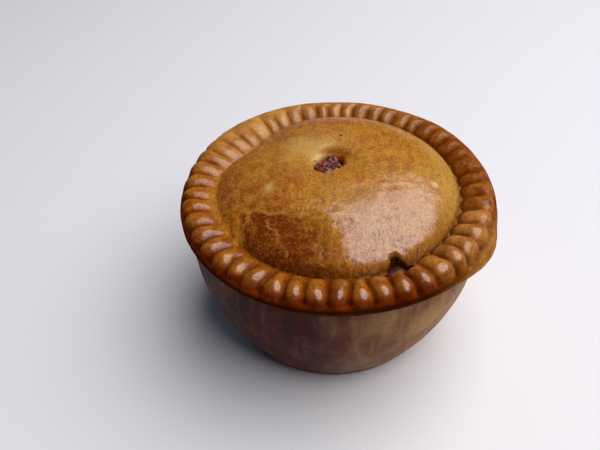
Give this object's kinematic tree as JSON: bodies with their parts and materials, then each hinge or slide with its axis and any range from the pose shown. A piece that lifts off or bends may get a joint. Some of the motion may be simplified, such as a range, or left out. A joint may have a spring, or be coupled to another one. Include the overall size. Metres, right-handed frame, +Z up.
{
  "type": "pork pie",
  "caption": "Whole round raised pork pie with a bellied pastry case, a crimped rim, a domed lid with a steam vent, and a small gravy split.",
  "frame": {"origin": "on the resting plane, under the middle of the rim: the middle of the bounding box's bottom face", "axes": "+Z up through the lid; +Y towards the back, away from the gravy split; +X to the right seen from the split's side"},
  "size_m": [0.1126, 0.1118, 0.0681],
  "materials": {
    "baked_pastry": "satin",
    "meat_and_jelly": "gloss",
    "set_gravy": "gloss"
  },
  "bodies": {
    "root": {"pastry": "baked_pastry", "vent_filling": "meat_and_jelly", "split_gravy": "set_gravy"}
  },
  "joints": []
}
